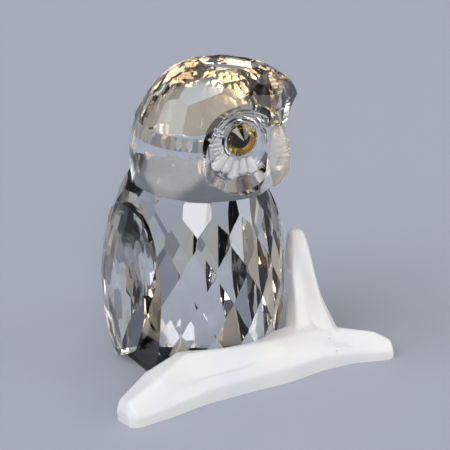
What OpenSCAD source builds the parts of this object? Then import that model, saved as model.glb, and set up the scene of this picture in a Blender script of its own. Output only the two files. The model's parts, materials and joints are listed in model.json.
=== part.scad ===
// Cut-crystal owlet figurine: a faceted body with two wings, a turned head with two moulded
// face discs, foiled stone eyes and a moulded beak, and a frosted branch across the front.
// The pieces are ground flat where they meet and are bonded with thin films of clear adhesive.
// The owlet's breast faces -Y, its left wing is at +X, and it stands on the plane z = 0.
// The origin is on the axis of the body, at its flat foot.

/* [Body] */
// Greatest radius of the body
body_r = 16.3; // [13:0.1:20]
// Height of the body, from its foot to the flat that carries the head
body_h = 33.9; // [28:0.1:41]
// Height at which the body is widest
body_waist_z = 14; // [11:0.5:17]
// Half height of the round form that the body is cut from
body_half_h = 29; // [27:0.5:36]
// Number of facets in each row round the body
body_facets = 16; // [12:2:20]

/* [Head] */
// Greatest radius of the head
head_r = 13.8; // [12.8:0.1:16.6]
// Height of the head
head_h = 21.6; // [19.5:0.1:26]
// Height of the head's widest ring above its flat underside
head_girdle_z = 4; // [3:0.5:6]
// Angle that the head is turned to the owlet's left
head_turn = 30; // [0:5:60]
// Distance from the body's axis to the head's axis, the way that the face looks
head_reach = 2.7; // [0:0.1:4]
// Half width of the brow that juts out over the beak
brow_w = 5; // [4:0.5:7]
// Distance from the head's axis to the front of the brow's round form
brow_reach = 16.6; // [15.5:0.1:19]
// Distance from the head's axis to the flat that ends the brow, at the head's widest ring
brow_flat = 13.3; // [13:0.1:15]
// Angle that this flat leans out at the top
brow_lean = 6; // [2:1:9]
// Number of facets in each row round the crown
crown_facets = 16; // [12:2:20]

/* [Face] */
// Angle between the way that the face looks and each eye's axis
face_splay = 38; // [34:1:42]
// Angle that each eye's axis points down
face_lean = 2; // [0:1:6]
// Distance from the head's axis to the foot of the round cut for each eye
face_depth = 12; // [11.4:0.1:12.6]
// Radius of that round cut
dish_r = 8; // [7:0.1:8.4]
// Depth of the shallow dish at its foot
dish_depth = 0.8; // [0.5:0.1:1.2]
// Radius of a face disc
disc_r = 6; // [5.4:0.1:6.4]
// Thickness of a face disc
disc_t = 1.8; // [1.6:0.1:2.2]
// Height of the face discs' middle above the head's underside
disc_z = 9.2; // [8.4:0.1:11]

/* [Eyes] */
// Diameter of an eye stone
eye_d = 5.7; // [4.8:0.1:6.4]
// Height of the eyes above the middle of the face disc
eye_rise = 1.5; // [0.8:0.1:2]
// Height of the stone's pointed front above its girdle
eye_crown_h = 0.9; // [0.5:0.1:1.3]
// Thickness of the stone's girdle
eye_girdle_h = 0.4; // [0.3:0.1:0.6]
// Depth of the foiled cone behind the girdle
eye_cone_h = 1.2; // [1:0.1:1.4]
// Diameter of the black pupil at the back of the stone
pupil_d = 3; // [2.4:0.1:3.4]
// Number of facets round the stone
eye_facets = 16; // [14:2:24]

/* [Beak] */
// Length of the beak from its top to its tip
beak_l = 12; // [10:0.1:14.4]
// Width of the beak at its widest
beak_w = 4.8; // [4:0.1:5.8]
// Distance that the beak stands out from its flat seat
beak_out = 3.2; // [2.7:0.1:4]
// Distance from the head's axis to the beak's flat seat
beak_seat = 12.3; // [12:0.1:13]
// Height of the beak's tip below the head's underside
beak_drop = 0.4; // [0:0.1:1]

/* [Wings] */
// Thickness of a wing at its middle
wing_t = 4.6; // [3.8:0.1:5.6]
// Radius of the round upper part of a wing
wing_r = 9.2; // [7.6:0.1:10.5]
// Height of the middle of that round part
wing_z = 21.4; // [19:0.1:23]
// Distance that a wing stands out from the body's round form
wing_proud = 0.5; // [0.4:0.1:1]
// Angle that each wing sits behind the body's side
wing_sweep = 8; // [0:1:15]
// Radius of a wing's tip
wing_tip_r = 3.6; // [3:0.1:4.4]
// Distance that the tip lies behind the wing's middle
wing_tip_out = 2.2; // [1:0.1:3]

/* [Branch] */
// Height of the thickest part of the branch
branch_h = 7.4; // [6.2:0.1:9]
// Thickness of the branch from the body to its front
branch_t = 7.4; // [6.2:0.1:9]
// Length of the branch to the owlet's right of the body's axis
branch_right = 28; // [23:0.5:34]
// Length of the branch to the owlet's left of the body's axis
branch_left = 27; // [22.5:0.5:32.5]
// Height of the upright twig
twig_h = 21.5; // [18:0.5:26]

/* [Adhesive] */
// Thickness of each film of adhesive
bond = 0.1; // [0.08:0.01:0.12]

/* [Hidden] */
// Depth of each facet below the round form it is cut into
cut = 0.35;
// Size of the lap that grinds a flat, larger than any piece
lap = 120;
// Size of the block that the head is ground from
head_lap = 34;
// Most that the crown swells out between the head's round form and the brow's
swell = 1;
// Gap between a stone or a disc and the wall of its socket
fit_gap = 0.1;
// Thickness of the eye foil
foil_t = 0.1;
// Thickness of the black enamel of the pupil
pupil_t = 0.1;
// Rim left between a film of adhesive and the edge of its flat
bond_rim = 0.8;
// Height of the collar that a face disc raises round its eye
collar_h = 0.8;
// Width of that collar
collar_w = 0.6;

body_semi = [body_r, body_r, body_half_h];
head_semi = [head_r, head_r, head_h - head_girdle_z];
head_base_z = body_h + bond;
head_z = head_base_z + head_girdle_z;
// Height above the head's widest ring from which its wall runs straight up into the crown.
wall_z = head_semi.z * 0.4;
// Half width of the block that the brow is ground from, whose sides fall in the eyes' round cuts.
brow_block_w = dish_r + 1;
wing_seat = body_r + wing_proud - wing_t;
eye_r = eye_d / 2;
pupil_r = pupil_d / 2;
eye_socket_r = eye_r + fit_gap;
// Depths below the foot of each eye's cut: the disc's edge, the collar's top, and what lies behind
// the stone's girdle.
disc_front = dish_depth;
eye_front = disc_front - collar_h;
eye_back = eye_front + eye_girdle_h + eye_cone_h;
pupil_back = eye_back + pupil_t;
eye_floor = pupil_back + foil_t + bond;
disc_back = disc_front + disc_t;
beak_tip_z = head_base_z - beak_drop;
beak_top_z = beak_tip_z + beak_l;

// Distance from the middle of a round form to the plane that touches it, facing azimuth az
// and elevation el.
function support(semi, az, el) =
    norm([semi.x * cos(az) * cos(el), semi.y * sin(az) * cos(el), semi.z * sin(el)]);

// The way that a facet at azimuth az and elevation el faces.
function facing(az, el) = [cos(az) * cos(el), sin(az) * cos(el), sin(el)];

// Radius of a round form at height z from its middle.
function ring_r(semi, z) = semi.x * sqrt(max(0, 1 - (z / semi.z) ^ 2));

// Points on the outline of a round form from height low to high, measured from its middle.
function outline(semi, low, high, steps) =
    [for (i = [0:steps]) let (z = low + (high - low) * i / steps) [ring_r(semi, z), z]];

// What a lap takes off beyond a plane at distance d that faces azimuth az and elevation el.
module ground(az, el, d, size = lap)
    rotate([0, -el, az])
        translate([d, -size / 2, -size / 2])
            cube(size);

// Puts its children on that plane, with +X out of it.
module on_plane(az, el, d)
    rotate([0, -el, az])
        translate([d, 0, 0])
            children();

// ---- body ----

// Rows of facets: elevation and turn, with body_facets in each row.
half_step = 180 / body_facets;
body_rows = [[-12, 0], [-5, half_step], [1, 0], [7.5, half_step], [14.5, 0], [23, half_step], [33, 0]];

// The body with its facets, before its seats are ground. It can be grown all round by a gap.
module body_gem(grow = 0)
    hull()
        intersection() {
            translate([0, 0, body_waist_z])
                difference() {
                    scale([for (s = body_semi) s + grow])
                        sphere(1, $fn = 64);
                    for (row = body_rows, i = [0:body_facets - 1]) {
                        az = row[1] + i * 2 * half_step;
                        ground(az, row[0], support(body_semi, az, row[0]) + grow - cut);
                    }
                }
            translate([-lap / 2, -lap / 2, 0])
                cube([lap, lap, body_h]);
        }

module body()
    color([0.86, 0.9, 0.95, 0.5])
        difference() {
            body_gem();
            ground(wing_sweep, 0, wing_seat);
            ground(180 - wing_sweep, 0, wing_seat);
        }

// ---- head: drawn looking along +X with its axis at the origin, then turned and placed ----

module place_head()
    rotate([0, 0, head_turn - 90])
        translate([head_reach, 0, 0])
            children();

// The brow's round form: its half sizes, and its middle from the middle of the head's widest ring.
brow_semi = [5, brow_w, 4.6];
brow_mid = [brow_reach - brow_semi.x, 0, head_semi.z - brow_semi.z - 1];

// Rows of crown facets: elevation, count and turn.
crown_step = 360 / crown_facets;
crown_rows = [
    [30, crown_facets, crown_step / 2],
    [46, crown_facets, 0],
    [61, crown_facets * 0.75, crown_step / 1.5],
    [75, crown_facets / 2, 0],
];
// More facets between the crown and the brow: elevation and the azimuths on either side.
brow_rows = [
    [38, [12, 34, 56]],
    [54, [0, 24, 46]],
    [68, [13, 38]],
    [82, [0]],
];

// Distance to the plane that touches the brow's round form.
function brow_d(az, el) = brow_mid * facing(az, el) + support(brow_semi, az, el);

// Distance to a crown facet. The form swells by up to swell between the head's round form and the brow's.
function crown_d(az, el) =
    let (
        a = support(head_semi, az, el),
        b = brow_d(az, el),
        t = min(1, max(0, 0.5 + (b - a) / (8 * swell)))
    )
    a + (b - a) * t + 4 * swell * t * (1 - t) - cut;

// The smooth wall of the head, with a block for the brow that stands out in front of it.
module head_wall() {
    translate([0, 0, head_z])
        rotate_extrude($fn = 96)
            polygon(concat(
                [[0, -head_girdle_z]],
                outline(head_semi, -head_girdle_z, wall_z, 5),
                [[ring_r(head_semi, wall_z), head_semi.z], [0, head_semi.z]]
            ));
    translate([0, -brow_block_w, head_base_z + disc_z])
        cube([brow_reach, 2 * brow_block_w, head_h - disc_z]);
}

// The flats of the crown and the brow, which bound the head above and in front.
module head_flats()
    hull()
        difference() {
            translate([-head_lap / 2, -head_lap / 2, head_base_z - 1])
                cube([head_lap, head_lap, head_h + 1 - cut]);
            translate([0, 0, head_z]) {
                for (row = crown_rows, i = [0:row[1] - 1]) {
                    az = row[2] + i * 360 / row[1];
                    ground(az, row[0], crown_d(az, row[0]));
                }
                for (row = brow_rows, side = [-1, 1], az = row[1])
                    ground(side * az, row[0], crown_d(az, row[0]));
                ground(0, -brow_lean, brow_flat);
            }
        }

// Puts its children at the middle of a face disc, with +Z out of the face and the cut's foot at z = 0.
module at_disc(side)
    translate([0, 0, head_z])
        rotate([0, 90 + face_lean, side * face_splay])
            translate([head_girdle_z - disc_z, 0, face_depth])
                children();

module at_eye(side)
    at_disc(side)
        translate([-eye_rise, 0, 0])
            children();

// The socket of a face disc, with the dish round it and the round cut that leads in to it.
module disc_socket()
    rotate_extrude($fn = 96)
        polygon([
            [0, -disc_back - bond],
            [disc_r + fit_gap, -disc_back - bond],
            [disc_r + fit_gap, -dish_depth],
            [dish_r, 0],
            [dish_r, head_r],
            [0, head_r],
        ]);

// The flat seat of the beak, with a step at its top.
module beak_notch()
    translate([beak_seat, -lap / 2, head_base_z - lap])
        cube([lap, lap, beak_top_z - head_base_z + lap]);

// The head with its beak seat ground, before the face discs' sockets are cut.
module seated_head()
    difference() {
        intersection() {
            head_wall();
            head_flats();
        }
        beak_notch();
    }

module head()
    color([0.86, 0.9, 0.95, 0.5])
        place_head()
            difference() {
                seated_head();
                for (side = [-1, 1])
                    at_disc(side)
                        disc_socket();
            }

// The smaller of the body's top flat and the head's underside, less a rim.
neck_r = min(
    ring_r(body_semi, body_h - body_waist_z) * cos(half_step) - cut,
    ring_r(head_semi, head_girdle_z) - head_reach
) - bond_rim;

module neck_bond()
    color([0.9, 0.93, 0.95, 0.4])
        translate([0, 0, body_h])
            cylinder(r = neck_r, h = bond, $fn = 64);

// ---- face discs and eyes ----

module for_disc(side)
    place_head()
        at_disc(side)
            children();

module for_eye(side)
    place_head()
        at_eye(side)
            children();

// A moulded disc that fills its socket and rises to a collar round the eye.
module face_disc()
    color([0.88, 0.91, 0.95, 0.5])
        difference() {
            union() {
                translate([0, 0, -disc_back])
                    cylinder(r = disc_r, h = disc_t, $fn = 96);
                translate([-eye_rise, 0, -disc_front])
                    cylinder(
                        r1 = min(disc_r - eye_rise - 0.1, eye_socket_r + 2 * collar_w),
                        r2 = eye_socket_r + collar_w,
                        h = collar_h,
                        $fn = 64
                    );
            }
            translate([-eye_rise, 0, -eye_floor])
                cylinder(r = eye_socket_r, h = eye_floor + 1, $fn = 64);
        }

module disc_bond()
    color([0.9, 0.93, 0.95, 0.4])
        translate([0, 0, -disc_back - bond])
            cylinder(r = disc_r, h = bond, $fn = 96);

module eye_stone()
    color([0.95, 0.68, 0.12])
        hull() {
            translate([0, 0, -eye_front - eye_girdle_h])
                cylinder(r = eye_r, h = eye_girdle_h, $fn = eye_facets);
            translate([0, 0, -eye_front])
                cylinder(r1 = eye_r, r2 = 0.4, h = eye_crown_h, $fn = eye_facets);
            translate([0, 0, -eye_back])
                cylinder(r = pupil_r, h = 0.01, $fn = eye_facets);
        }

module eye_pupil()
    color([0.02, 0.02, 0.03])
        translate([0, 0, -pupil_back])
            cylinder(r = pupil_r, h = pupil_t, $fn = 48);

// A thin cone of foil round the stone's back, open at the front.
module eye_foil()
    color([0.9, 0.7, 0.2])
        translate([0, 0, -eye_back])
            rotate_extrude($fn = 64)
                polygon([
                    [pupil_r, 0],
                    [eye_r, eye_cone_h],
                    [eye_r + foil_t / 2, eye_cone_h],
                    [pupil_r + foil_t, 0],
                ]);

// Adhesive that fills the bottom of the socket behind the foil and the pupil.
module eye_bond()
    color([0.9, 0.93, 0.95, 0.4])
        translate([0, 0, -eye_floor])
            cylinder(r = eye_socket_r, h = foil_t + bond, $fn = 64);

// ---- beak: in the head's frame ----

// Stations down the beak: how far out, how far down from the top, and how round.
beak_line = [
    [0.24, 0.14, 0.34],
    [0.4, 0.34, 0.48],
    [0.44, 0.6, 0.38],
    [0.3, 0.82, 0.24],
    [-0.05, 0.96, 0.08],
];

module beak_station(s)
    translate([beak_seat + bond + s[0] * beak_out, 0, beak_top_z - s[1] * beak_l])
        scale([beak_out * 1.16 / beak_w, 1, 1])
            sphere(beak_w * s[2], $fn = 32);

module beak()
    color([0.8, 0.8, 0.8])
        place_head()
            intersection() {
                for (i = [0:len(beak_line) - 2])
                    hull() {
                        beak_station(beak_line[i]);
                        beak_station(beak_line[i + 1]);
                    }
                translate([beak_seat + bond, -beak_w, beak_tip_z - 1])
                    cube([2 * beak_out, 2 * beak_w, beak_l + 1 - bond]);
            }

module beak_bond()
    color([0.9, 0.93, 0.95, 0.4])
        place_head()
            translate([beak_seat, -beak_w * 0.3, head_base_z + 1])
                cube([bond, beak_w * 0.6, (beak_top_z - head_base_z) * 0.6]);

// ---- wings ----

wing_semi = [for (s = body_semi) s + wing_proud];
// Rows of wing facets: elevation and turn, at steps of wing_step.
wing_step = 8;
wing_rows = [[-13, 0], [-7, 4], [-1, 0], [5, 4], [11, 0], [17.5, 4], [25, 0], [34, 4]];

// Outline of a wing, seen from the side: x is towards the back and y is up.
module wing_outline(inset = 0)
    hull() {
        translate([-0.5, wing_z])
            circle(wing_r - inset, $fn = 32);
        translate([wing_tip_out, 1.2 + wing_tip_r])
            circle(wing_tip_r - inset, $fn = 32);
    }

module wing_slab(from, thick, inset)
    translate([from, 0, 0])
        rotate([90, 0, 90])
            linear_extrude(thick)
                wing_outline(inset);

module wing()
    color([0.84, 0.87, 0.92, 0.5])
        rotate([0, 0, wing_sweep])
            hull()
                intersection() {
                    wing_slab(wing_seat + bond, wing_t + 1, 0);
                    translate([0, 0, body_waist_z])
                        difference() {
                            scale(wing_semi)
                                sphere(1, $fn = 64);
                            for (row = wing_rows, i = [-7:7]) {
                                az = row[1] + i * wing_step;
                                ground(az, row[0], support(wing_semi, az, row[0]) - 0.2);
                            }
                        }
                }

module wing_bond()
    color([0.9, 0.93, 0.95, 0.4])
        rotate([0, 0, wing_sweep])
            wing_slab(wing_seat, bond, 1.8);

// ---- branch ----

// The body's lowest facet in front, which the branch is bonded to.
seat_el = body_rows[0][0];
seat_d = support(body_semi, 0, seat_el) - cut;
seat_slope = sin(seat_el) * cos(seat_el);
seat_mid = (body_semi.z ^ 2 - body_semi.x ^ 2) * seat_slope / support(body_semi, 0, seat_el);
foot_r = ring_r(body_semi, body_waist_z);

// Knots along the branch: x, how far out from the foot, height, and half thickness.
log_r = branch_t * 0.6;
log_line = [
    [-branch_right + 2.6, 2.9, 1.4, 2.6],
    [-branch_right * 0.68, 2.6, 1.7, 4.1],
    [-branch_right * 0.36, 2, branch_h - log_r, log_r],
    [branch_left * 0.42, 2.8, branch_h - log_r - 0.3, log_r],
    [branch_left * 0.76, 5, 1.7, 3.5],
    [branch_left - 2.2, 8.2, 1.3, 2.2],
];
twig_line = [
    [body_r * 0.86, 1.6, 3.6, 4.4],
    [body_r + 0.2, -3.4, twig_h * 0.56, 2.9],
    [body_r + 1.4, -6.6, twig_h - 1.7, 1.7],
];

module chain(line)
    for (i = [0:len(line) - 2])
        hull()
            for (k = [line[i], line[i + 1]])
                translate([k.x, -foot_r - k.y, k.z])
                    sphere(k[3], $fn = 24);

module branch()
    color([0.95, 0.96, 0.97])
        difference() {
            union() {
                chain(log_line);
                chain(twig_line);
            }
            translate([-lap / 2, -lap / 2, -lap])
                cube(lap);
            body_gem(bond);
            // The twig stands clear of the wing.
            translate([0, 0, branch_h])
                cylinder(r = body_r + wing_proud + 0.3, h = body_h, $fn = 64);
        }

module branch_bond()
    color([0.9, 0.93, 0.95, 0.4])
        translate([0, 0, body_waist_z])
            on_plane(-90, seat_el, seat_d)
                translate([0, -2.2, seat_mid - 1.8])
                    cube([bond, 4.4, 3.6]);

body();
head();
neck_bond();
mirror([1, 0, 0]) wing();  // wing_right
wing();  // wing_left
mirror([1, 0, 0]) wing_bond();  // wing_bond_right
wing_bond();  // wing_bond_left
for_disc(-1) face_disc();  // face_disc_right
for_disc(1) face_disc();  // face_disc_left
for_disc(-1) disc_bond();  // disc_bond_right
for_disc(1) disc_bond();  // disc_bond_left
for_eye(-1) eye_stone();  // eye_stone_right
for_eye(1) eye_stone();  // eye_stone_left
for_eye(-1) eye_pupil();  // eye_pupil_right
for_eye(1) eye_pupil();  // eye_pupil_left
for_eye(-1) eye_foil();  // eye_foil_right
for_eye(1) eye_foil();  // eye_foil_left
for_eye(-1) eye_bond();  // eye_bond_right
for_eye(1) eye_bond();  // eye_bond_left
beak();
beak_bond();
branch();
branch_bond();
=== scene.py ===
# %% [markdown]
# # A cut-crystal owlet on a frosted branch
#
# This lesson dresses a small crystal owl: a faceted body, two wings, a turned head with a
# moulded disc round each amber eye, a hooked beak and the satin branch that it leans behind.
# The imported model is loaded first. It fixes the size and the place of every piece, and all
# that follows is fitted to it. Everything is in metres.

# %% Load the frame
import json
import math

import bmesh
import bpy
from mathutils import Matrix, Vector, noise
from mathutils.bvhtree import BVHTree

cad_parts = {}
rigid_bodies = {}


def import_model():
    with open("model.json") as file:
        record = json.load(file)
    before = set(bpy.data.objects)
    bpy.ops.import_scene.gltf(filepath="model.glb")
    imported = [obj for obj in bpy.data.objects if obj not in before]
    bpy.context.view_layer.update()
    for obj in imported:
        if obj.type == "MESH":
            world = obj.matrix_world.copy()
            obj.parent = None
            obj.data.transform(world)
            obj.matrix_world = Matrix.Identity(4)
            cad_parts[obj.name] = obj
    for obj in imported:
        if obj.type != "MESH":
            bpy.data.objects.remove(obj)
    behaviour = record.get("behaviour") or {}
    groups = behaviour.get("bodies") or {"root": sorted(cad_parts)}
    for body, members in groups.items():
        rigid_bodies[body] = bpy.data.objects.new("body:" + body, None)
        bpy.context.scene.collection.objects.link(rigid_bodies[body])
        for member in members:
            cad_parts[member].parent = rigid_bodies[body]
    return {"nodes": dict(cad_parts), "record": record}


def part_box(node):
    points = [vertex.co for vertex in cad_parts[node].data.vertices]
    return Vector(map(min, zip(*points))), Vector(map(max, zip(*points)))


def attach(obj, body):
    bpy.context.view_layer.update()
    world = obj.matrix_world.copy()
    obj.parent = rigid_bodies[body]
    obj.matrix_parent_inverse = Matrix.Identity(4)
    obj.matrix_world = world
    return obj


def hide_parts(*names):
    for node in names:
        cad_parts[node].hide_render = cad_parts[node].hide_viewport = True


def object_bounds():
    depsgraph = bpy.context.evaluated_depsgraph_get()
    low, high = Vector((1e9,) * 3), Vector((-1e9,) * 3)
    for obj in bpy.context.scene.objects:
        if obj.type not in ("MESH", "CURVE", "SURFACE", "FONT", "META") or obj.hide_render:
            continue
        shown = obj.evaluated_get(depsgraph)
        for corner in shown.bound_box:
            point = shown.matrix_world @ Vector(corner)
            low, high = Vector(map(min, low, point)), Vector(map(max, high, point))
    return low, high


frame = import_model()
cad_box = [list(corner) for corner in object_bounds()]
nodes = frame["nodes"]
mm = 0.001
sides = ("right", "left")
print("frame:", len(nodes), "nodes, box in mm:", [[round(v / mm, 1) for v in c] for c in cad_box])

# %% [markdown]
# ## Where things are
#
# A film of adhesive is flat and thin, so it tells how the piece on top of it is turned. Its
# thinnest direction is the normal of the joint. `seat` returns the middle of a thin node, that
# normal and an "up" that lies in the film. Using the films saves typing in any angle.


# %% Seats, read from the thin nodes
def seat(node, away_from):
    verts = [v.co for v in nodes[node].data.vertices]
    middle = (Vector(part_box(node)[0]) + Vector(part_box(node)[1])) / 2
    best = None
    for tri in nodes[node].data.polygons:
        a, b, c = (verts[i] for i in tri.vertices)
        area = (b - a).cross(c - a)
        if best is None or area.length > best.length:
            best = area
    normal = best.normalized()
    if normal.dot(middle - away_from) < 0:
        normal.negate()
    rough_up = Vector((0, 1, 0)) if abs(normal.z) > 0.9 else Vector((0, 0, 1))
    up = (rough_up - normal * normal.dot(rough_up)).normalized()
    return middle, normal, up


def placed(middle, normal, up):
    """A matrix whose X runs sideways, Y up and Z out of the seat."""
    turn = Matrix((up.cross(normal), up, normal)).transposed().to_4x4()
    return Matrix.Translation(middle) @ turn


head_lo, head_hi = (Vector(c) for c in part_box("head"))
head_mid = (head_lo + head_hi) / 2
disc_seat = {s: placed(*seat("disc_bond_" + s, head_mid)) for s in sides}
eye_seat = {s: placed(*seat("eye_pupil_" + s, head_mid)) for s in sides}
beak_seat = placed(*seat("beak_bond", head_mid))
print("beak looks along", [round(v, 2) for v in beak_seat.col[2][:3]])


# %% [markdown]
# ## Small helpers
#
# Every finished piece is one mesh object at the origin that rides on the body of the frame,
# takes its finishes and hides the nodes that it stands for.


# %% Finishing a piece
def make_object(name, bm):
    mesh = bpy.data.meshes.new(name)
    bm.to_mesh(mesh)
    bm.free()
    piece = bpy.data.objects.new(name, mesh)
    bpy.context.scene.collection.objects.link(piece)
    return piece


def bake_modifiers(piece):
    """Turns a piece and its modifiers into one plain mesh."""
    graph = bpy.context.evaluated_depsgraph_get()
    mesh = bpy.data.meshes.new_from_object(piece.evaluated_get(graph))
    piece.modifiers.clear()
    piece.data = mesh
    return piece


def finish_piece(piece, materials, slot, *replaced):
    piece.data.materials.clear()
    for material in materials if isinstance(materials, tuple) else (materials,):
        piece.data.materials.append(material)
    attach(piece, "root")
    if replaced:
        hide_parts(*replaced)
    print(piece.name, len(piece.data.polygons), "faces")
    return piece


# %% [markdown]
# ## Finishes
#
# Polished crystal is a clear glass with a high index of refraction. What keeps it from looking
# like a computer's idea of glass is small: a faint smear of handling on the polish, and a
# painted reflection of the room in each facet, which differs from facet to facet. The smear is a
# node group, so that each glass can have its own amount of it.


# %% A node group for handled polish
def group_input(group, name, kind, value):
    socket = group.interface.new_socket(name, in_out="INPUT", socket_type=kind)
    socket.default_value = value


def make_polish_group():
    group = bpy.data.node_groups.new("handled_polish", "ShaderNodeTree")
    group_input(group, "Smear Size", "NodeSocketFloat", 900.0)
    group_input(group, "Least", "NodeSocketFloat", 0.0)
    group_input(group, "Most", "NodeSocketFloat", 0.05)
    group.interface.new_socket("Roughness", in_out="OUTPUT", socket_type="NodeSocketFloat")
    group.interface.new_socket("Waves", in_out="OUTPUT", socket_type="NodeSocketFloat")
    add, link = group.nodes.new, group.links.new
    given, out = add("NodeGroupInput"), add("NodeGroupOutput")
    where = add("ShaderNodeTexCoord")
    smear = add("ShaderNodeTexNoise")
    smear.inputs["Detail"].default_value = 4.0
    spread = add("ShaderNodeMapRange")
    spread.inputs["From Min"].default_value = 0.48
    spread.inputs["From Max"].default_value = 0.78
    waves = add("ShaderNodeTexNoise")
    waves.inputs["Scale"].default_value = 260.0
    waves.inputs["Detail"].default_value = 1.0
    link(where.outputs["Object"], smear.inputs["Vector"])
    link(where.outputs["Object"], waves.inputs["Vector"])
    link(given.outputs["Smear Size"], smear.inputs["Scale"])
    link(smear.outputs["Fac"], spread.inputs["Value"])
    link(given.outputs["Least"], spread.inputs["To Min"])
    link(given.outputs["Most"], spread.inputs["To Max"])
    link(spread.outputs["Result"], out.inputs["Roughness"])
    link(waves.outputs["Fac"], out.inputs["Waves"])
    return group


polish_group = make_polish_group()


# %% [markdown]
# A cut facet mirrors one patch of the room, so neighbours differ in tone: cream beside grey
# beside clear. These reflections are painted into the glass: each facet carries a number from 0
# to 1 in an attribute, and a colour ramp turns it into a light or dark tint that is a painted
# reflection. The head's plain wall stays clear.


# %% Clear glass
def new_material(name):
    material = bpy.data.materials.new(name)
    material.use_nodes = True
    shader = material.node_tree.nodes["Principled BSDF"]
    return material, shader


def crystal(name, tones, ior=1.58, most=0.03, ripple=0.004, clearness=1.0):
    """A glass. A `clearness` below 1 keeps part of the light as a milky white."""
    material, shader = new_material(name)
    tree = material.node_tree
    add, link = tree.nodes.new, tree.links.new
    shader.inputs["Transmission Weight"].default_value = clearness
    shader.inputs["IOR"].default_value = ior
    # Painted reflections: where the ramp holds several tints, each facet's number picks a light or
    # dark tint that stands for the patch of room the facet would mirror.
    tone = add("ShaderNodeAttribute")
    tone.attribute_name = "facet_tone"
    ramp = add("ShaderNodeValToRGB")
    ramp.color_ramp.interpolation = "CONSTANT"
    while len(ramp.color_ramp.elements) < len(tones):
        ramp.color_ramp.elements.new(0.5)
    for element, (start, colour) in zip(ramp.color_ramp.elements, tones):
        element.position = start
        element.color = (*colour, 1)
    polish = add("ShaderNodeGroup")
    polish.node_tree = polish_group
    polish.inputs["Most"].default_value = most
    bump = add("ShaderNodeBump")
    bump.inputs["Strength"].default_value = ripple
    bump.inputs["Distance"].default_value = 0.2 * mm
    link(tone.outputs["Fac"], ramp.inputs["Fac"])
    link(ramp.outputs["Color"], shader.inputs["Base Color"])
    link(polish.outputs["Roughness"], shader.inputs["Roughness"])
    link(polish.outputs["Waves"], bump.inputs["Height"])
    link(bump.outputs["Normal"], shader.inputs["Normal"])
    return material


clear = (0.985, 0.992, 1.0)
# Cream, champagne, tan and smoke are painted reflections of the room, light and dark, laid into
# clear crystal.
painted_cream_reflection = (1.0, 0.92, 0.74)
painted_champagne_reflection = (0.84, 0.63, 0.36)
painted_tan_reflection = (0.52, 0.36, 0.20)
painted_smoke_reflection = (0.30, 0.31, 0.36)
crown_glass = crystal(
    "crown_crystal",
    [(0.0, clear), (0.04, painted_champagne_reflection), (0.28, painted_tan_reflection), (0.46, painted_cream_reflection), (0.64, painted_smoke_reflection), (0.76, painted_champagne_reflection)],
)
body_glass = crystal(
    "body_crystal",
    [(0.0, clear), (0.36, painted_cream_reflection), (0.48, painted_smoke_reflection), (0.58, clear), (0.76, painted_champagne_reflection), (0.88, painted_tan_reflection)],
)
wing_glass = crystal(
    "wing_crystal", [(0.0, clear), (0.5, painted_cream_reflection), (0.64, painted_smoke_reflection), (0.76, clear), (0.88, painted_champagne_reflection)]
)
moulded_glass = crystal("moulded_crystal", [(0.0, (0.98, 0.985, 0.99))], 1.54, 0.06, 0.05)
print("four clear glasses")

# %% [markdown]
# ## Adhesive
#
# Where a film of clear adhesive joins two crystals, the light passes straight on, because the
# film bends it no more than the glass does. Rendered as separate surfaces, the joint would turn
# into a mirror. So the outline of the film is scored into the flat that it lies on, and the
# faces inside the outline, like the film itself, are given a finish that lets light through.

# %% The adhesive's finish, and scoring a film's outline into a flat
glue = bpy.data.materials.new("cured_adhesive")
glue.use_nodes = True
glue_shader = glue.node_tree.nodes["Principled BSDF"]
glue_shader.inputs["Alpha"].default_value = 0.03
glue_shader.inputs["IOR"].default_value = 1.05
glue_dust = glue.node_tree.nodes.new("ShaderNodeTexNoise")
glue_dust.inputs["Scale"].default_value = 1400.0
glue_tint = glue.node_tree.nodes.new("ShaderNodeValToRGB")
glue_tint.color_ramp.elements[0].color = (0.80, 0.82, 0.84, 1)
glue_tint.color_ramp.elements[1].color = (0.95, 0.96, 0.97, 1)
glue_where = glue.node_tree.nodes.new("ShaderNodeTexCoord")
glue.node_tree.links.new(glue_where.outputs["Object"], glue_dust.inputs["Vector"])
glue.node_tree.links.new(glue_dust.outputs["Fac"], glue_tint.inputs["Fac"])
glue.node_tree.links.new(glue_tint.outputs["Color"], glue_shader.inputs["Base Color"])


def film_outline(film):
    """The outline of a flat film as points in order, with its middle and its normal."""
    middle, normal, up = seat(film, head_mid)
    flat = placed(middle, normal, up).inverted()
    points = {}
    for v in nodes[film].data.vertices:
        spot = flat @ v.co
        turn = round(math.atan2(spot.y, spot.x), 3)
        if turn not in points or spot.xy.length > points[turn][0]:
            points[turn] = (spot.xy.length, v.co.copy())
    around = [points[turn][1] for turn in sorted(points)]
    return [p - normal * (p - middle).dot(normal) for p in around], middle, normal


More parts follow.
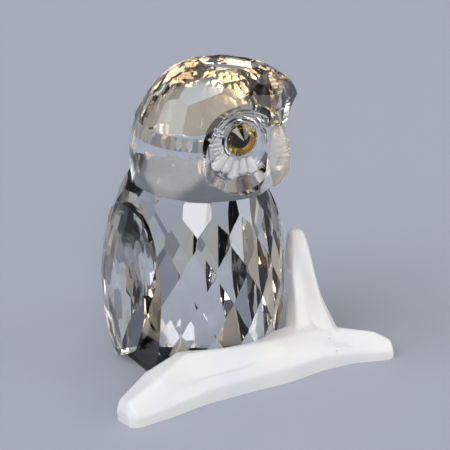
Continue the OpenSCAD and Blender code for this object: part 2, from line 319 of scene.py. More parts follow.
def score_film(piece, film, reach=0.25 * mm):
    """Cuts the film's outline into the flat that it lies on, and marks what lies inside it."""
    around, middle, normal = film_outline(film)
    bm = bmesh.new()
    bm.from_mesh(piece.data)
    touched = [
        f
        for f in bm.faces
        if abs(f.normal.dot(normal)) > 0.999
        and abs((f.calc_center_median() - middle).dot(normal)) < reach
    ]
    sides_out = []
    for a, b in zip(around, around[1:] + around[:1]):
        if (b - a).length < 0.01 * mm:
            continue
        out = (b - a).cross(normal).normalized()
        if out.dot(middle - a) > 0:
            out.negate()
        sides_out.append((a, out))
        geom = set(touched)
        for f in touched:
            geom.update(f.edges)
            geom.update(f.verts)
        bmesh.ops.bisect_plane(bm, geom=list(geom), dist=0.001 * mm, plane_co=a, plane_no=out)
        touched = [
            f
            for f in bm.faces
            if abs(f.normal.dot(normal)) > 0.999
            and abs((f.calc_center_median() - middle).dot(normal)) < reach
            and (f.calc_center_median() - a).dot(out) < 0
        ]
    inside = 0
    for f in touched:
        spot = f.calc_center_median()
        if all((spot - a).dot(out) < 0 for a, out in sides_out):
            f.material_index = 1
            inside += 1
    bm.to_mesh(piece.data)
    bm.free()
    print("  ", film, "marks", inside, "faces of", piece.name)


# %% [markdown]
# ## Cut stones
#
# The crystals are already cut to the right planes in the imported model, but their edges are
# perfectly sharp and their facets are loose triangles. A real lap leaves a hair-thin rounded
# edge that catches the light. So each stone is a copy of its node: doubles merged, flat
# triangles joined into whole facets, and a fine bevel run along every edge.

# %% Turning a node into a polished stone
facet_angle = math.radians(1.0)
soft_angle = math.radians(9.0)
crown_angle = math.radians(5.0)
polished_edge = 0.07 * mm


def painted_reflection_tone_of(normal, seed):
    """A steady number from 0 to 1 for a facet that faces this way; it picks the facet's painted
    reflection.
    """
    return (noise.noise(normal * 9.7 + Vector((seed, seed * 0.7, 1.3))) * 1.3 + 0.5) % 1.0


def stone_copy(name, node):
    bm = bmesh.new()
    bm.from_mesh(nodes[node].data)
    bmesh.ops.remove_doubles(bm, verts=bm.verts, dist=0.002 * mm)
    bmesh.ops.dissolve_limit(
        bm, angle_limit=facet_angle, verts=bm.verts, edges=bm.edges, use_dissolve_boundaries=False
    )
    return make_object(name, bm)


def polish_edges(piece, width):
    bevel = piece.modifiers.new("edges", "BEVEL")
    bevel.width = width
    bevel.segments = 1
    bevel.limit_method = "ANGLE"
    bevel.angle_limit = soft_angle
    bevel.use_clamp_overlap = True
    return bake_modifiers(piece)


def mark_painted_reflections(piece, seed, plain_below):
    """Numbers the facets for their painted reflections. What leans back by less than `plain_below`
    stays clear.
    """
    mesh = piece.data
    tone = mesh.attributes.new("facet_tone", "FLOAT", "FACE")
    tones = [painted_reflection_tone_of(p.normal, seed) if p.normal.z > plain_below else 0.0 for p in mesh.polygons]
    tone.data.foreach_set("value", tones)


def cut_stone(name, node, glass, slot, seed, films, plain_below=-2.0):
    piece = stone_copy(name, node)
    mark_painted_reflections(piece, seed, plain_below)
    polish_edges(piece, polished_edge)
    for film in films:
        score_film(piece, film)
    return finish_piece(piece, (glass, glue), slot, node)


# %% Body and wings
body = cut_stone(
    "cut_body",
    "body",
    body_glass,
    "clear_crystal",
    2.0,
    ["neck_bond", "wing_bond_right", "wing_bond_left", "branch_bond"],
)
body.data.shade_flat()
for side in sides:
    wing = cut_stone(
        "cut_wing_" + side, "wing_" + side, wing_glass, "wing_crystal", 5.0, ["wing_bond_" + side]
    )
    wing.data.shade_flat()

# %% Head
head = cut_stone(
    "cut_head",
    "head",
    crown_glass,
    "clear_crystal",
    3.0,
    ["neck_bond", "disc_bond_right", "disc_bond_left", "beak_bond"],
    plain_below=0.22,
)
head.data.shade_smooth()
head.data.set_sharp_from_angle(angle=crown_angle)

# %% [markdown]
# ## Face discs
#
# On the real owlet each disc is pressed in a mould: a plate with a socket for the eye, a lip
# that rises over the eye like a brow, and feathers that fan out below it. A flat plate with a
# bump map would show no feathers from the side, so the plate is a grid of rings round the eye
# whose heights follow a rule. The rings run from the floor of the socket over the face to the
# back of the plate, which closes the solid.

# %% Sizes of a disc, read from the nodes
def reach_in(seat_matrix, node):
    """Highest distance from the seat's axis, and lowest and highest Z, of a node's points."""
    spots = [seat_matrix.inverted() @ v.co for v in nodes[node].data.vertices]
    depths = [p.z for p in spots]
    return max(p.xy.length for p in spots), min(depths), max(depths)


disc_size = {}
for side in sides:
    rim, _, _ = reach_in(disc_seat[side], "disc_bond_" + side)
    socket, floor_z, _ = reach_in(eye_seat[side], "eye_bond_" + side)
    eye_at = disc_seat[side].inverted() @ eye_seat[side].translation
    _, back_z, collar_z = reach_in(disc_seat[side], "face_disc_" + side)
    disc_size[side] = {
        "rim": rim,
        "socket": socket,
        "eye": eye_at,
        "floor": floor_z + eye_at.z,
        "back": back_z,
        "collar": collar_z,
    }
print("disc in mm:", {k: round(v / mm, 2) for k, v in disc_size["right"].items() if k != "eye"})


# %% Height of the face at an angle round the eye
lip_arc = (25, 175)
under_arc = (-30, 195)
arc_soft = 14
collar_rise = 0.8 * mm


def smooth_step(low, high, x):
    t = min(1.0, max(0.0, (x - low) / (high - low)))
    return t * t * (3 - 2 * t)


def between(low, high, soft, x):
    return smooth_step(low - soft, low + soft, x) * (1 - smooth_step(high - soft, high + soft, x))


def face_height(angle, along):
    """Millimetres above the collar's foot. Angles run from the beak (0) over the top (90)."""
    lip = between(*lip_arc, arc_soft, angle)
    under = 1 - between(*under_arc, arc_soft, angle)
    rise = 0.10 + 0.10 * math.sin(math.radians(angle * 5)) * along * (1 - lip)
    rise += lip * (1.35 * smooth_step(0.42, 0.86, along) - 0.25 * between(0.16, 0.42, 0.1, along))
    rise += lip * 0.12 * math.sin(along * 22)
    rise += under * 0.25 * smooth_step(0.75, 1.0, along)
    return rise


def moulded_disc(side):
    size = disc_size[side]
    turn_steps, face_steps = 180, 26
    beak_side = 1 if side == "right" else -1
    eye, rim = size["eye"], size["rim"] - 0.03 * mm
    plate = size["collar"] - collar_rise
    bm = bmesh.new()
    rings = []
    for i in range(turn_steps):
        angle = -90 + 360 * i / turn_steps
        ray = Vector((beak_side * math.cos(math.radians(angle)), math.sin(math.radians(angle)), 0))
        out = -ray.dot(eye) + math.sqrt(ray.dot(eye) ** 2 - eye.xy.length_squared + rim**2)
        ring = [
            (size["socket"], size["floor"]),
            (size["socket"], size["collar"] - 0.08 * mm),
            (size["socket"] + 0.08 * mm, size["collar"]),
            (size["socket"] + 0.45 * mm, size["collar"]),
        ]
        start = size["socket"] + 0.6 * mm
        lean = 0.9 * mm * between(*lip_arc, arc_soft, angle)
        for k in range(face_steps + 1):
            along = k / face_steps
            far = start + (out + lean - start) * along
            ring.append((far, plate + face_height(angle, along) * mm))
        ring.append((out + lean, plate + 0.55 * lean))
        ring.append((out, plate - 0.05 * mm))
        ring.append((out, size["back"] + 0.05 * mm))
        ring.append((out - 0.05 * mm, size["back"]))
        base = Vector((eye.x, eye.y, 0))
        rings.append([bm.verts.new(base + ray * far + Vector((0, 0, z))) for far, z in ring])
    close_rings(bm, rings, eye, size["floor"], size["back"])
    bm.transform(disc_seat[side])
    return make_object("moulded_disc_" + side, bm)


def close_rings(bm, rings, eye, floor_z, back_z):
    """Joins neighbouring spokes of points into a skin and closes it front and back."""
    front = bm.verts.new((eye.x, eye.y, floor_z))
    back = bm.verts.new((eye.x, eye.y, back_z))
    for spoke, following in zip(rings, rings[1:] + rings[:1]):
        bm.faces.new((front, spoke[0], following[0]))
        bm.faces.new((back, following[-1], spoke[-1]))
        for k in range(len(spoke) - 1):
            bm.faces.new((spoke[k], spoke[k + 1], following[k + 1], following[k]))
    bmesh.ops.recalc_face_normals(bm, faces=bm.faces)


for side in sides:
    disc = moulded_disc(side)
    disc.data.shade_smooth()
    disc.data.set_sharp_from_angle(angle=math.radians(40))
    finish_piece(disc, moulded_glass, "moulded_crystal", "face_disc_" + side)

# %% [markdown]
# The feathers are the same petal again and again, so they are a job for Geometry Nodes. One
# petal is lofted in code. The tree sets copies of it in a fan, a little uneven, as the petals
# of a mould are when it is carved by hand, then makes them real and gives them their glass.


# %% One petal
def petal(length, width, height):
    """A flute that lies along X from 0, rounded on top and blunt at its outer end."""
    bm = bmesh.new()
    steps, around = 14, 14
    rows = []
    for i in range(steps + 1):
        t = i / steps
        half = width / 2 * (0.46 + 0.54 * t) * math.sqrt(max(0.02, 1 - max(0, (t - 0.8) / 0.2) ** 2))
        top = height * (0.45 + 0.55 * smooth_step(0, 0.7, t)) * (1 - 0.55 * smooth_step(0.75, 1, t))
        row = []
        for j in range(around):
            a = 2 * math.pi * j / around
            up = math.sin(a)
            z = top * up if up > 0 else top * up * 0.15
            row.append(bm.verts.new((t * length, half * math.cos(a), z)))
        rows.append(row)
    for low, high in zip(rows, rows[1:]):
        for j in range(around):
            k = (j + 1) % around
            bm.faces.new((low[j], low[k], high[k], high[j]))
    bm.faces.new(rows[0])
    bm.faces.new(rows[-1])
    bmesh.ops.recalc_face_normals(bm, faces=bm.faces)
    return bm


# %% A tree that sets petals in a fan
def node_input(tree, name, kind, value=None):
    socket = tree.interface.new_socket(name, in_out="INPUT", socket_type=kind)
    if value is not None:
        socket.default_value = value
    return socket.identifier


def fan_tree():
    tree = bpy.data.node_groups.new("petal_fan", "GeometryNodeTree")
    ids = {"Petal": node_input(tree, "Petal", "NodeSocketGeometry")}
    ids["Count"] = node_input(tree, "Count", "NodeSocketInt", 5)
    ids["First Angle"] = node_input(tree, "First Angle", "NodeSocketFloat", 0.0)
    ids["Step"] = node_input(tree, "Step", "NodeSocketFloat", 0.3)
    ids["Distance"] = node_input(tree, "Distance", "NodeSocketFloat", 0.003)
    ids["Unevenness"] = node_input(tree, "Unevenness", "NodeSocketFloat", 0.08)
    ids["Seed"] = node_input(tree, "Seed", "NodeSocketInt", 4)
    ids["Glass"] = node_input(tree, "Glass", "NodeSocketMaterial")
    tree.interface.new_socket("Fan", in_out="OUTPUT", socket_type="NodeSocketGeometry")
    add, link = tree.nodes.new, tree.links.new
    given, out = add("NodeGroupInput"), add("NodeGroupOutput")
    points = add("GeometryNodePoints")
    index = add("GeometryNodeInputIndex")
    angle = add("ShaderNodeMath")
    angle.operation = "MULTIPLY_ADD"
    turn = add("ShaderNodeCombineXYZ")
    least, most = add("ShaderNodeMath"), add("ShaderNodeMath")
    least.operation, most.operation = "SUBTRACT", "ADD"
    least.inputs[0].default_value = most.inputs[0].default_value = 1.0
    uneven = add("FunctionNodeRandomValue")
    place = add("GeometryNodeInstanceOnPoints")
    shift = add("GeometryNodeTranslateInstances")
    offset = add("ShaderNodeCombineXYZ")
    real = add("GeometryNodeRealizeInstances")
    paint = add("GeometryNodeSetMaterial")
    link(given.outputs["Count"], points.inputs["Count"])
    link(index.outputs["Index"], angle.inputs[0])
    link(given.outputs["Step"], angle.inputs[1])
    link(given.outputs["First Angle"], angle.inputs[2])
    link(angle.outputs["Value"], turn.inputs["Z"])
    link(given.outputs["Unevenness"], least.inputs[1])
    link(given.outputs["Unevenness"], most.inputs[1])
    link(least.outputs["Value"], uneven.inputs[2])
    link(most.outputs["Value"], uneven.inputs[3])
    link(given.outputs["Seed"], uneven.inputs["Seed"])
    link(points.outputs[0], place.inputs["Points"])
    link(given.outputs["Petal"], place.inputs["Instance"])
    link(turn.outputs["Vector"], place.inputs["Rotation"])
    link(uneven.outputs[1], place.inputs["Scale"])
    link(given.outputs["Distance"], offset.inputs["X"])
    link(place.outputs["Instances"], shift.inputs["Instances"])
    link(offset.outputs["Vector"], shift.inputs["Translation"])
    link(shift.outputs["Instances"], real.inputs["Geometry"])
    link(real.outputs["Geometry"], paint.inputs["Geometry"])
    link(given.outputs["Glass"], paint.inputs["Material"])
    link(paint.outputs["Geometry"], out.inputs["Fan"])
    return tree, ids


petal_tree, petal_ids = fan_tree()


def petal_fan(name, side, one, values, lift):
    piece = make_object(name, one)
    fan = piece.modifiers.new("fan", "NODES")
    fan.node_group = petal_tree
    for key, value in values.items():
        fan[petal_ids[key]] = value
    fan[petal_ids["Glass"]] = petal_glass
    bake_modifiers(piece)
    size = disc_size[side]
    spot = Vector((size["eye"].x, size["eye"].y, size["collar"] - collar_rise + lift))
    mirror = Matrix.Scale(1 if side == "right" else -1, 4, Vector((1, 0, 0)))
    piece.data.transform(disc_seat[side] @ Matrix.Translation(spot) @ mirror)
    if side == "left":
        piece.data.flip_normals()
    piece.data.shade_smooth()
    return finish_piece(piece, petal_glass, "moulded_crystal", "face_disc_" + side)


petal_glass = crystal("petal_crystal", [(0.0, (0.98, 0.98, 0.99))], 1.58, 0.05, 0.05, 0.6)
for side in sides:
    socket = disc_size[side]["socket"]
    petal_fan(
        "lower_petals_" + side,
        side,
        petal(3.35 * mm, 2.3 * mm, 0.8 * mm),
        {
            "Count": 5,
            "First Angle": math.radians(-140),
            "Step": math.radians(18),
            "Distance": socket + 0.55 * mm,
            "Seed": 4,
        },
        0.45 * mm,
    )
    petal_fan(
        "outer_feathers_" + side,
        side,
        petal(2.3 * mm, 0.6 * mm, 0.35 * mm),
        {
            "Count": 7,
            "First Angle": math.radians(152),
            "Step": math.radians(9.5),
            "Distance": socket + 0.8 * mm,
            "Seed": 9,
        },
        0.42 * mm,
    )

# %% [markdown]
# ## Beak
#
# The beak is moulded too: a ridged cere at the top, a smooth hook below, and a small ring on
# either side for the nostrils. It is lofted down a curve from rounded sections. A section is
# flat behind, where it is bonded, and its front swells by a ripple where the ridges are.

# %% The loft and its rings
beak_reach = [beak_seat.inverted() @ v.co for v in nodes["beak"].data.vertices]
beak_top, beak_low = max(p.y for p in beak_reach), min(p.y for p in beak_reach)
beak_far, beak_half = max(p.z for p in beak_reach), max(p.x for p in beak_reach)
beak_back = min(p.z for p in beak_reach)
print("beak in mm:", [round(v / mm, 2) for v in (beak_top, beak_low, beak_far, beak_half)])
# Share of the way down, reach of the front, half width, and how far the back stands off.
beak_stations = [
    (0.00, 0.30, 0.34, 0.0),
    (0.06, 0.52, 0.62, 0.0),
    (0.20, 0.74, 0.90, 0.0),
    (0.38, 0.93, 1.00, 0.0),
    (0.55, 1.00, 0.88, 0.0),
    (0.72, 0.93, 0.66, 0.0),
    (0.86, 0.64, 0.42, 0.03),
    (0.95, 0.34, 0.22, 0.03),
    (1.00, 0.12, 0.09, 0.03),
]


def along_stations(stations, t):
    """Smooth values between stations, by Catmull and Rom's rule."""
    for i in range(len(stations) - 1):
        if t <= stations[i + 1][0]:
            break
    a, b = stations[i], stations[i + 1]
    before, after = stations[max(0, i - 1)], stations[min(len(stations) - 1, i + 2)]
    f = (t - a[0]) / (b[0] - a[0])
    found = []
    for k in range(1, len(a)):
        m0 = (b[k] - before[k]) * (b[0] - a[0]) / (b[0] - before[0])
        m1 = (after[k] - a[k]) * (b[0] - a[0]) / (after[0] - a[0])
        found.append(
            (2 * f**3 - 3 * f**2 + 1) * a[k]
            + (f**3 - 2 * f**2 + f) * m0
            + (3 * f**2 - 2 * f**3) * b[k]
            + (f**3 - f**2) * m1
        )
    return found


def skin_rows(bm, rows):
    """Joins rows of points into a closed skin."""
    count = len(rows[0])
    for low, high in zip(rows, rows[1:]):
        for j in range(count):
            k = (j + 1) % count
            bm.faces.new((low[j], low[k], high[k], high[j]))
    bm.faces.new(rows[0])
    bm.faces.new(rows[-1])
    bmesh.ops.recalc_face_normals(bm, faces=bm.faces)


def add_ring(bm, middle, normal_x, ring_r, tube_r, around=28, tube=10):
    rows = []
    for i in range(around):
        a = 2 * math.pi * i / around
        row = []
        for j in range(tube):
            b = 2 * math.pi * j / tube
            far = ring_r + tube_r * math.cos(b)
            spot = Vector((tube_r * math.sin(b), far * math.cos(a), far * math.sin(a)))
            spot.x += normal_x * spot.z * -0.35
            row.append(bm.verts.new(middle + spot))
        rows.append(row)
    for low, high in zip(rows, rows[1:] + rows[:1]):
        for j in range(tube):
            k = (j + 1) % tube
            bm.faces.new((low[j], low[k], high[k], high[j]))


def make_beak():
    bm = bmesh.new()
    steps, around = 84, 40
    rows = []
    for i in range(steps + 1):
        t = i / steps
        far, half, stand = along_stations(beak_stations, t)
        ridges = 0.05 * between(0.18, 0.52, 0.05, t) * math.sin(t * 2 * math.pi * 11)
        y = beak_top + (beak_low - beak_top) * t
        depth = (beak_far - beak_back) * (far + ridges)
        row = []
        for j in range(around):
            a = 2 * math.pi * j / around
            out, across = math.cos(a), math.sin(a)
            z = beak_back + depth * (out if out > 0 else 0.0) + stand * mm
            squeeze = 1.0 if out > 0 else 1 + 0.45 * out
            droop = -0.10 * depth * max(0.0, out) * smooth_step(0.5, 1.0, t)
            row.append(bm.verts.new((beak_half * half * across * squeeze, y + droop, z)))
        rows.append(row)
    skin_rows(bm, rows)
    for way in (-1, 1):
        middle = Vector(
            (
                way * beak_half * 0.86,
                beak_top + (beak_low - beak_top) * 0.11,
                beak_back + (beak_far - beak_back) * 0.30,
            )
        )
        add_ring(bm, middle, way, 0.52 * mm, 0.2 * mm)
    bmesh.ops.recalc_face_normals(bm, faces=bm.faces)
    bm.transform(beak_seat)
    return make_object("hooked_beak", bm)


beak_glass = crystal("beak_crystal", [(0.0, (1.0, 0.96, 0.87))], 1.6, 0.03, 0.01, 0.72)
beak = make_beak()
beak.data.shade_smooth()
beak.data.set_sharp_from_angle(angle=math.radians(60))
finish_piece(beak, beak_glass, "moulded_crystal", "beak")

# %% [markdown]
# ## Branch
#
# The branch is pressed glass, matted with acid. Its surface is soft: broad planes that run into
# each other over blurred ridges, with shallow hollows. Two lofts, a log and a twig, are melted
# together by a voxel remesh and relaxed, as the fire polish does. What would touch the body is
# pushed back to leave room for the film of adhesive.

# %% Sections of the log and the twig
# Log: x; back and front of the foot; height of the front edge; ridge; height of the back edge;
# depth of the hollow between the ridge and the front edge.
log_stations = [
    (-27.6, -15.6, -19.2, 1.6, -17.4, 2.2, 1.9, 0.0),
    (-26.6, -14.9, -20.2, 2.8, -17.5, 4.0, 3.2, 0.1),
    (-19.5, -12.4, -20.4, 3.6, -16.6, 6.0, 5.4, 0.2),
    (-12.0, -11.4, -19.9, 4.2, -14.4, 7.6, 6.6, 2.3),
    (-4.0, -13.6, -20.6, 4.4, -16.2, 7.2, 6.2, 1.9),
    (5.0, -14.0, -21.8, 4.6, -17.6, 6.7, 6.4, -0.2),
    (12.5, -14.0, -21.6, 4.4, -17.8, 6.4, 6.6, 0.0),
    (19.0, -16.0, -22.6, 3.0, -19.2, 5.7, 4.6, 1.3),
    (23.8, -19.8, -24.9, 2.8, -22.4, 4.8, 3.8, 0.2),
    (26.2, -22.6, -25.2, 1.7, -24.0, 3.2, 2.6, 0.0),
]
# Twig: height; its middle; half width along X and along Y; how far its ridge stands out.
twig_stations = [
    (1.0, 14.3, -16.8, 6.6, 4.4, 0.2),
    (6.0, 14.8, -14.8, 4.7, 4.0, -1.7),
    (10.0, 15.6, -12.2, 3.3, 3.0, -1.5),
    (14.0, 16.3, -10.0, 2.8, 2.5, -0.7),
    (18.0, 17.0, -8.2, 2.3, 2.1, 0.8),
    (20.6, 17.3, -7.4, 1.6, 1.5, 0.3),
    (21.3, 17.4, -7.1, 1.1, 1.1, 0.1),
]


def flat_stations(stations, t):
    """Values on the straight line between two stations, so planes stay flat."""
    i = min(int(t), len(stations) - 2)
    return [(a + (b - a) * (t - i)) * mm for a, b in zip(stations[i], stations[i + 1])]


def rounded(points):
    """Cuts the corners of a closed outline."""
    cut = []
    for a, b in zip(points, points[1:] + points[:1]):
        cut += [a.lerp(b, 0.1), a.lerp(b, 0.5), a.lerp(b, 0.9)]
    return cut


def log_section(t):
    x, y_back, y_front, h_front, y_ridge, h_ridge, h_back, hollow = flat_stations(log_stations, t)
    lower = -1.0 * mm
    return rounded(
        [
            Vector((x, y_back, lower)),
            Vector((x, y_front, lower)),
            Vector((x, y_front, h_front * 0.62)),
            Vector((x, y_front * 0.75 + y_ridge * 0.25, h_front)),
            Vector((x, (y_front + y_ridge) / 2, (h_front + h_ridge) / 2 - hollow)),
            Vector((x, y_ridge, h_ridge)),
            Vector((x, y_back + 0.6 * mm, h_back)),
        ]
    )


def twig_section(t):
    z, x, y, wide, deep, ridge = flat_stations(twig_stations, t)
    turn = math.radians(-25)
    outline = [
        (-1, 0.1),
        (-0.66, -0.95),
        (0.0, -0.8),
        (0.76, -0.85),
        (1, 0.15),
        (0.45, 0.9),
        (-0.5, 0.9),
    ]
    points = []
    for k, (a, b) in enumerate(outline):
        px, py = a * wide, b * deep - (ridge if k == 2 else 0)
        points.append(
            Vector(
                (
                    x + px * math.cos(turn) - py * math.sin(turn),
                    y + px * math.sin(turn) + py * math.cos(turn),
                    z,
                )
            )
        )
    return rounded(points)


def loft(section, last, steps):
    bm = bmesh.new()
    rows = [[bm.verts.new(p) for p in section(last * i / steps)] for i in range(steps + 1)]
    skin_rows(bm, rows)
    return bm


# %% Melting them together
def make_branch():
    log = loft(log_section, len(log_stations) - 1, 90)
    twig = loft(twig_section, len(twig_stations) - 1, 50)
    mesh = bpy.data.meshes.new("twig")
    twig.to_mesh(mesh)
    log.from_mesh(mesh)
    piece = make_object("frosted_branch", log)
    melt = piece.modifiers.new("melt", "REMESH")
    melt.mode = "VOXEL"
    melt.voxel_size = 0.26 * mm
    bake_modifiers(piece)
    bm = bmesh.new()
    bm.from_mesh(piece.data)
    for _ in range(5):
        bmesh.ops.smooth_vert(
            bm, verts=bm.verts, factor=0.5, use_axis_x=True, use_axis_y=True, use_axis_z=True
        )
    clear_of_body(bm, 0.15 * mm)
    floor_z = cad_box[0][2]
    geom = list(bm.verts) + list(bm.edges) + list(bm.faces)
    bmesh.ops.bisect_plane(
        bm, geom=geom, plane_co=(0, 0, floor_z), plane_no=(0, 0, -1), clear_outer=True
    )
    bmesh.ops.holes_fill(bm, edges=[e for e in bm.edges if e.is_boundary])
    bmesh.ops.recalc_face_normals(bm, faces=bm.faces)
    bm.to_mesh(piece.data)
    bm.free()
    return piece


def clear_of_body(bm, gap):
    """Pushes points that lie in the body, or closer to it than the gap, out of it."""
    trees = []
    for node in ("body", "wing_left"):
        solid = bmesh.new()
        solid.from_mesh(nodes[node].data)
        trees.append(BVHTree.FromBMesh(solid))
        solid.free()
    moved = 0
    for v in bm.verts:
        for tree in trees:
            near, normal, _, far = tree.find_nearest(v.co)
            inside = (v.co - near).dot(normal) < 0
            if inside or far < gap:
                v.co = near + normal * gap
                moved += 1
    print("   points pushed off the body:", moved)


branch = make_branch()
branch.data.shade_smooth()
branch.data.set_sharp_from_angle(angle=math.radians(50))

# %% [markdown]
# Matted glass scatters light twice: at its rough skin, and a little way inside. So the finish
# lets a quarter of the light through a rough surface and keeps the rest as a soft white, with
# a fine grain in the skin and a slow drift from cool to warm.

# %% Satin glass
satin, satin_shader = new_material("satin_crystal")
satin_shader.inputs["Transmission Weight"].default_value = 0.25
satin_shader.inputs["IOR"].default_value = 1.5
satin_tree = satin.node_tree
add, link = satin_tree.nodes.new, satin_tree.links.new
place = add("ShaderNodeTexCoord")
drift = add("ShaderNodeTexNoise")
drift.inputs["Scale"].default_value = 95.0
drift.inputs["Detail"].default_value = 2.0
tint = add("ShaderNodeValToRGB")
tint.color_ramp.elements[0].position = 0.32
tint.color_ramp.elements[0].color = (0.90, 0.93, 0.98, 1)
tint.color_ramp.elements[1].position = 0.68
tint.color_ramp.elements[1].color = (1.0, 0.99, 0.98, 1)
grain = add("ShaderNodeTexNoise")
grain.inputs["Scale"].default_value = 5200.0
grain.inputs["Detail"].default_value = 2.0
matt = add("ShaderNodeMapRange")
matt.inputs["To Min"].default_value = 0.26
matt.inputs["To Max"].default_value = 0.42
skin = add("ShaderNodeBump")
skin.inputs["Strength"].default_value = 0.12
skin.inputs["Distance"].default_value = 0.05 * mm
for texture in (drift, grain):
    link(place.outputs["Object"], texture.inputs["Vector"])
link(drift.outputs["Fac"], tint.inputs["Fac"])
link(tint.outputs["Color"], satin_shader.inputs["Base Color"])
link(drift.outputs["Fac"], matt.inputs["Value"])
link(matt.outputs["Result"], satin_shader.inputs["Roughness"])
link(grain.outputs["Fac"], skin.inputs["Height"])
link(skin.outputs["Normal"], satin_shader.inputs["Normal"])
finish_piece(branch, satin, "frosted_crystal", "branch")

# %% [markdown]
# ## Eyes and adhesive
#
# The eye is a cut amber stone. Its cone is backed with gold foil, which throws the light back,
# and a spot of black enamel behind its flat culet reads as the pupil. These nodes already have
# the right shape, so they stay and only get their finishes.


# %% Amber, foil and enamel
def noisy_colour(material, shader, scale, low, high, roughness=None):
    """Colours a surface between two tones, and roughens it between two values if given."""
    tree = material.node_tree
    where = tree.nodes.new("ShaderNodeTexCoord")
    texture = tree.nodes.new("ShaderNodeTexNoise")
    texture.inputs["Scale"].default_value = scale
    tones = tree.nodes.new("ShaderNodeValToRGB")
    tones.color_ramp.elements[0].position = 0.35
    tones.color_ramp.elements[1].position = 0.65
    tones.color_ramp.elements[0].color = (*low, 1)
    tones.color_ramp.elements[1].color = (*high, 1)
    tree.links.new(where.outputs["Object"], texture.inputs["Vector"])
    tree.links.new(texture.outputs["Fac"], tones.inputs["Fac"])
    tree.links.new(tones.outputs["Color"], shader.inputs["Base Color"])
    if roughness:
        spread = tree.nodes.new("ShaderNodeMapRange")
        spread.inputs["To Min"].default_value, spread.inputs["To Max"].default_value = roughness
        tree.links.new(texture.outputs["Fac"], spread.inputs["Value"])
        tree.links.new(spread.outputs["Result"], shader.inputs["Roughness"])


amber, amber_shader = new_material("amber_crystal")
amber_shader.inputs["Transmission Weight"].default_value = 1.0
amber_shader.inputs["IOR"].default_value = 1.56
noisy_colour(amber, amber_shader, 700.0, (1.0, 0.73, 0.08), (1.0, 0.83, 0.18), (0.0, 0.03))
gold, gold_shader = new_material("gold_foil")
gold_shader.inputs["Metallic"].default_value = 1.0
noisy_colour(gold, gold_shader, 1500.0, (1.0, 0.84, 0.36), (1.0, 0.94, 0.56), (0.3, 0.55))
black, black_shader = new_material("black_enamel")
black_shader.inputs["Specular IOR Level"].default_value = 0.1
noisy_colour(black, black_shader, 2500.0, (0.001, 0.001, 0.001), (0.004, 0.003, 0.003), (0.3, 0.5))
kept = {"amber_stone": amber, "gold_foil": gold, "black_enamel": black, "adhesive": glue}
slots = {p["node"]: p["material_slot"] for p in frame["record"]["subparts"]}
for name, node in nodes.items():
    if slots[name] in kept:
        node.data.materials.clear()
        node.data.materials.append(kept[slots[name]])

# %% [markdown]
# ## Stage
#
# A pale seamless floor, and soft light from a studio that is warm on one side and cool on the
# other. Glass shows nothing but its surroundings, so the room is part of the material.

# %% Floor
bm = bmesh.new()
bmesh.ops.create_grid(bm, x_segments=1, y_segments=1, size=3.0)
floor = make_object("floor", bm)
floor.location.z = cad_box[0][2]
floor_paint, floor_shader = new_material("floor_paint")
floor_shader.inputs["Base Color"].default_value = (0.36, 0.39, 0.46, 1)
floor_shader.inputs["Roughness"].default_value = 0.6
floor.data.materials.append(floor_paint)

# %% Room light
# Each card is a soft patch in the room: its direction, half angle and blur in degrees, colour
# and strength. The lamps are small and bright, and each is placed where one facet mirrors it.
cards = [
    ("cool window", (-0.80, 0.10, 0.75), 20, 6, (0.95, 0.98, 1.0), 7.5),
    ("crown lamp", (-0.68, -0.34, 0.64), 13, 3, (1.0, 0.94, 0.80), 4.5),
    ("brow lamp", (-0.15, -0.75, 0.64), 10, 3, (1.0, 0.95, 0.84), 4.0),
    ("breast lamp", (-0.48, -0.78, 0.41), 7, 2, (1.0, 0.98, 0.98), 26.0),
    ("eye lamp", (-0.05, -0.99, 0.16), 5, 1, (1.0, 0.97, 0.93), 18.0),
    ("top light", (0.1, 0.1, 1.0), 22, 8, (1.0, 0.98, 0.95), 2.6),
    ("side fill", (0.72, -0.66, 0.24), 18, 6, (1.0, 0.98, 0.95), 6.0),
    ("warm screen", (0.56, -0.83, 0.12), 13, 6, (0.95, 0.84, 0.66), 2.2),
    ("gold screen", (0.80, 0.40, 0.70), 20, 6, (0.90, 0.86, 0.78), 0.6),
    ("tan screen", (-0.25, 0.80, 0.65), 20, 6, (0.86, 0.90, 0.96), 0.8),
]
world = bpy.data.worlds.new("studio")
bpy.context.scene.world = world
world.use_nodes = True
tree = world.node_tree
add, link = tree.nodes.new, tree.links.new
sky = tree.nodes["Background"]
where = add("ShaderNodeTexCoord")
split = add("ShaderNodeSeparateXYZ")
link(where.outputs["Generated"], split.inputs["Vector"])
base = add("ShaderNodeValToRGB")
base.color_ramp.elements[0].position = 0.45
base.color_ramp.elements[0].color = (0.25, 0.29, 0.38, 1)
base.color_ramp.elements[1].position = 1.0
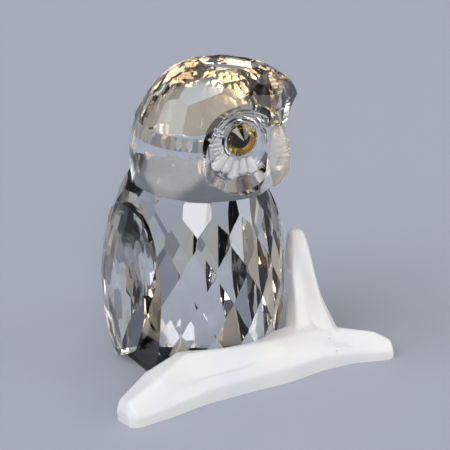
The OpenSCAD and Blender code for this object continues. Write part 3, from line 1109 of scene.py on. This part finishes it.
base.color_ramp.elements[1].color = (0.34, 0.35, 0.38, 1)
height = add("ShaderNodeMapRange")
height.inputs["From Min"].default_value = -1.0
link(split.outputs["Z"], height.inputs["Value"])
link(height.outputs["Result"], base.inputs["Fac"])
total = base.outputs["Color"]
for name, direction, half_angle, blur, colour, strength in cards:
    facing = add("ShaderNodeVectorMath")
    facing.operation = "DOT_PRODUCT"
    facing.inputs[1].default_value = Vector(direction).normalized()
    link(where.outputs["Generated"], facing.inputs[0])
    patch = add("ShaderNodeMapRange")
    patch.interpolation_type = "SMOOTHSTEP"
    patch.inputs["From Min"].default_value = math.cos(math.radians(half_angle + blur))
    patch.inputs["From Max"].default_value = math.cos(math.radians(half_angle))
    link(facing.outputs["Value"], patch.inputs["Value"])
    lit = add("ShaderNodeMix")
    lit.data_type = "RGBA"
    lit.inputs["A"].default_value = (0, 0, 0, 1)
    lit.inputs["B"].default_value = tuple(c * strength for c in colour) + (1,)
    link(patch.outputs["Result"], lit.inputs["Factor"])
    both = add("ShaderNodeMix")
    both.data_type = "RGBA"
    both.blend_type = "ADD"
    both.inputs["Factor"].default_value = 1.0
    both.clamp_result = False
    link(total, both.inputs["A"])
    link(lit.outputs["Result"], both.inputs["B"])
    total = both.outputs["Result"]
link(total, sky.inputs["Color"])
sky.inputs["Strength"].default_value = 0.44
bpy.context.scene.view_settings.view_transform = "Standard"
print(len(cards), "cards")

# %% Camera
azimuth, elevation = math.radians(-37), math.radians(22)
back = Vector(
    (
        math.sin(azimuth) * math.cos(elevation),
        -math.cos(azimuth) * math.cos(elevation),
        math.sin(elevation),
    )
)
right = Vector((math.cos(azimuth), math.sin(azimuth), 0))
aim = right * 5.5 * mm + Vector((0, 0, 24 * mm))
camera_data = bpy.data.cameras.new("camera")
camera_data.lens = 180
camera_data.clip_start = 0.01
camera = bpy.data.objects.new("camera", camera_data)
bpy.context.scene.collection.objects.link(camera)
camera.location = aim + back * 0.4
camera.rotation_euler = back.to_track_quat("Z", "Y").to_euler()
bpy.context.scene.camera = camera
